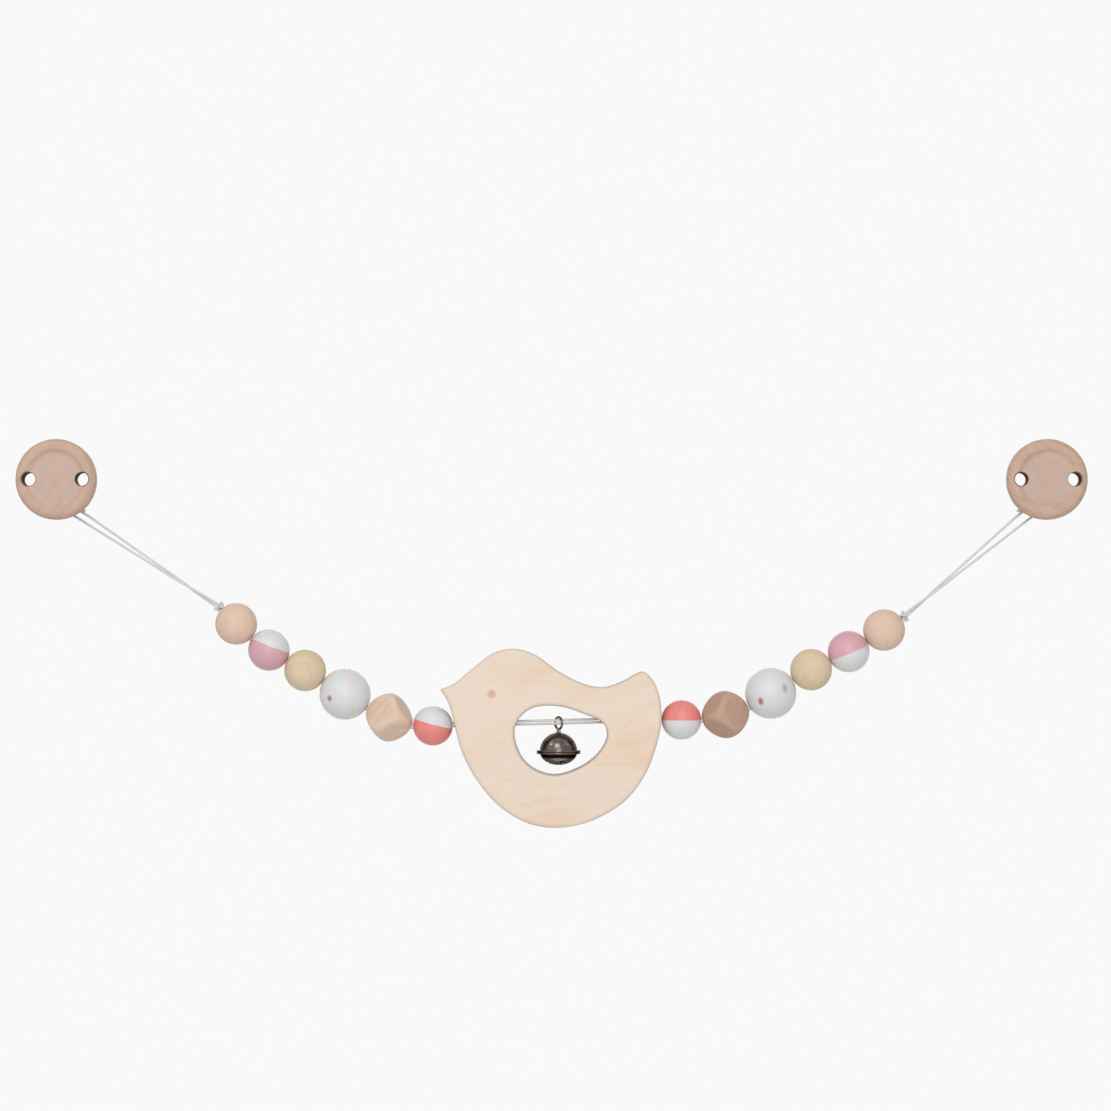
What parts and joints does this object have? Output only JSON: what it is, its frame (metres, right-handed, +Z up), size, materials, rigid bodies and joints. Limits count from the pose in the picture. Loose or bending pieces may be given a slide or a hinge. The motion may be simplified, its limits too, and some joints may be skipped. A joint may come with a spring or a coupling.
{
  "type": "pram chain toy",
  "caption": "Pram chain toy: a flat wooden bird with a bell in its opening, strung on a doubled cord between round and cubic beads, with a wooden disc clip at each end.",
  "frame": {"origin": "midway between the two clips, on the line through the lower bars of both wire bails, where the string hangs", "axes": "+X along the string from the left clip to the right clip, +Z up, -Y towards the viewer and the front of the discs"},
  "size_m": [0.4782, 0.0232, 0.1737],
  "materials": {
    "beech": "bare turned beech, sanded",
    "pale_wood": "bare light wood, sanded",
    "maple": "bare maple, sanded",
    "white_paint": "satin white paint on wood",
    "pink_paint": "satin pink and white paint on wood",
    "coral_paint": "satin coral and white paint on wood",
    "dark_bell": "black nickel plate",
    "steel": "nickel plate",
    "jaw_plastic": "moulded white plastic",
    "cord": "braided polyester cord"
  },
  "bodies": {
    "clips": {"left_disc": "beech", "left_clip_plate": "steel", "left_outer_screw": "steel", "left_inner_screw": "steel", "left_hinge_pin": "steel", "right_disc": "beech", "right_clip_plate": "steel", "right_outer_screw": "steel", "right_inner_screw": "steel", "right_hinge_pin": "steel"},
    "left_lever": {"left_lever": "steel", "left_jaw_pad": "jaw_plastic"},
    "right_lever": {"right_lever": "steel", "right_jaw_pad": "jaw_plastic"},
    "left_bail": {"left_bail": "steel"},
    "right_bail": {"right_bail": "steel"},
    "string": {"left_cord_loop": "cord", "left_cord_knot": "cord", "upper_threaded_cord": "cord", "lower_threaded_cord": "cord", "right_cord_knot": "cord", "right_cord_loop": "cord"},
    "left_beech_bead": {"left_beech_bead": "beech"},
    "left_pink_bead": {"left_pink_bead": "pink_paint"},
    "left_pale_bead": {"left_pale_bead": "pale_wood"},
    "left_dotted_bead": {"left_dotted_bead": "white_paint"},
    "left_cube_bead": {"left_cube_bead": "beech"},
    "left_coral_bead": {"left_coral_bead": "coral_paint"},
    "right_coral_bead": {"right_coral_bead": "coral_paint"},
    "right_cube_bead": {"right_cube_bead": "beech"},
    "right_dotted_bead": {"right_dotted_bead": "white_paint"},
    "right_pale_bead": {"right_pale_bead": "pale_wood"},
    "right_pink_bead": {"right_pink_bead": "pink_paint"},
    "right_beech_bead": {"right_beech_bead": "beech"},
    "bird": {"bird": "maple"},
    "bell": {"bell_upper_shell": "dark_bell", "bell_lower_shell": "dark_bell", "bell_eye": "steel"},
    "pellet": {"bell_pellet": "steel"}
  },
  "joints": [
    {"name": "left_lever_flip", "type": "hinge", "parent": "clips", "child": "left_lever", "pos_m": [-0.22121, 0.0023, 0.02], "axis": [1, 0, 0], "range_deg": [0, 95]},
    {"name": "right_lever_flip", "type": "hinge", "parent": "clips", "child": "right_lever", "pos_m": [0.22121, 0.0023, 0.02], "axis": [1, 0, 0], "range_deg": [0, 95]},
    {"name": "left_bail_swing", "type": "hinge", "parent": "clips", "child": "left_bail", "pos_m": [-0.22121, 0, 0.0058], "axis": [1, 0, 0], "range_deg": [-8, 15]},
    {"name": "right_bail_swing", "type": "hinge", "parent": "clips", "child": "right_bail", "pos_m": [0.22121, 0, 0.0058], "axis": [1, 0, 0], "range_deg": [-8, 15]},
    {"name": "string_swing", "type": "hinge", "parent": "left_bail", "child": "string", "pos_m": [0, 0, 0], "axis": [1, 0, 0], "range_deg": [-32, 45]},
    {"name": "left_beech_bead_spin", "type": "hinge", "parent": "string", "child": "left_beech_bead", "pos_m": [-0.14192, 0, -0.05347], "axis": [0.7071, 0, -0.7071], "continuous": true},
    {"name": "left_pink_bead_spin", "type": "hinge", "parent": "string", "child": "left_pink_bead", "pos_m": [-0.12715, 0, -0.06521], "axis": [0.848, 0, -0.5299], "continuous": true},
    {"name": "left_pale_bead_spin", "type": "hinge", "parent": "string", "child": "left_pale_bead", "pos_m": [-0.1109, 0, -0.07441], "axis": [0.891, 0, -0.454], "continuous": true},
    {"name": "left_dotted_bead_spin", "type": "hinge", "parent": "string", "child": "left_dotted_bead", "pos_m": [-0.0929, 0, -0.08504], "axis": [0.8339, 0, -0.5519], "continuous": true},
    {"name": "left_cube_bead_spin", "type": "hinge", "parent": "string", "child": "left_cube_bead", "pos_m": [-0.07307, 0, -0.09556], "axis": [0.9272, 0, -0.3746], "continuous": true},
    {"name": "left_coral_bead_spin", "type": "hinge", "parent": "string", "child": "left_coral_bead", "pos_m": [-0.05342, 0, -0.09926], "axis": [0.9986, 0, 0.0523], "continuous": true},
    {"name": "right_coral_bead_spin", "type": "hinge", "parent": "string", "child": "right_coral_bead", "pos_m": [0.05841, 0, -0.09663], "axis": [0.9994, 0, -0.0349], "continuous": true},
    {"name": "right_cube_bead_spin", "type": "hinge", "parent": "string", "child": "right_cube_bead", "pos_m": [0.0782, 0, -0.09429], "axis": [0.9703, 0, 0.2419], "continuous": true},
    {"name": "right_dotted_bead_spin", "type": "hinge", "parent": "string", "child": "right_dotted_bead", "pos_m": [0.09857, 0, -0.08463], "axis": [0.809, 0, 0.5878], "continuous": true},
    {"name": "right_pale_bead_spin", "type": "hinge", "parent": "string", "child": "right_pale_bead", "pos_m": [0.11677, 0, -0.07405], "axis": [0.9205, 0, 0.3907], "continuous": true},
    {"name": "right_pink_bead_spin", "type": "hinge", "parent": "string", "child": "right_pink_bead", "pos_m": [0.1336, 0, -0.06593], "axis": [0.8788, 0, 0.4772], "continuous": true},
    {"name": "right_beech_bead_spin", "type": "hinge", "parent": "string", "child": "right_beech_bead", "pos_m": [0.14957, 0, -0.05624], "axis": [0.829, 0, 0.5592], "continuous": true},
    {"name": "bird_spin", "type": "hinge", "parent": "string", "child": "bird", "pos_m": [0.00264, 0, -0.09754], "axis": [0.9997, 0, 0.0262], "continuous": true},
    {"name": "bell_swing", "type": "hinge", "parent": "bird", "child": "bell", "pos_m": [0.00314, 0, -0.09753], "axis": [0.9997, 0, 0.0262], "range_deg": [-95, 95]},
    {"name": "pellet_rattle", "type": "slide", "parent": "bell", "child": "pellet", "axis": [0, 0, 1], "range_m": [0, 0.0065]}
  ],
  "couplings": [
    {"joint": "right_bail_swing", "follows": "left_bail_swing", "ratio": 1}
  ]
}
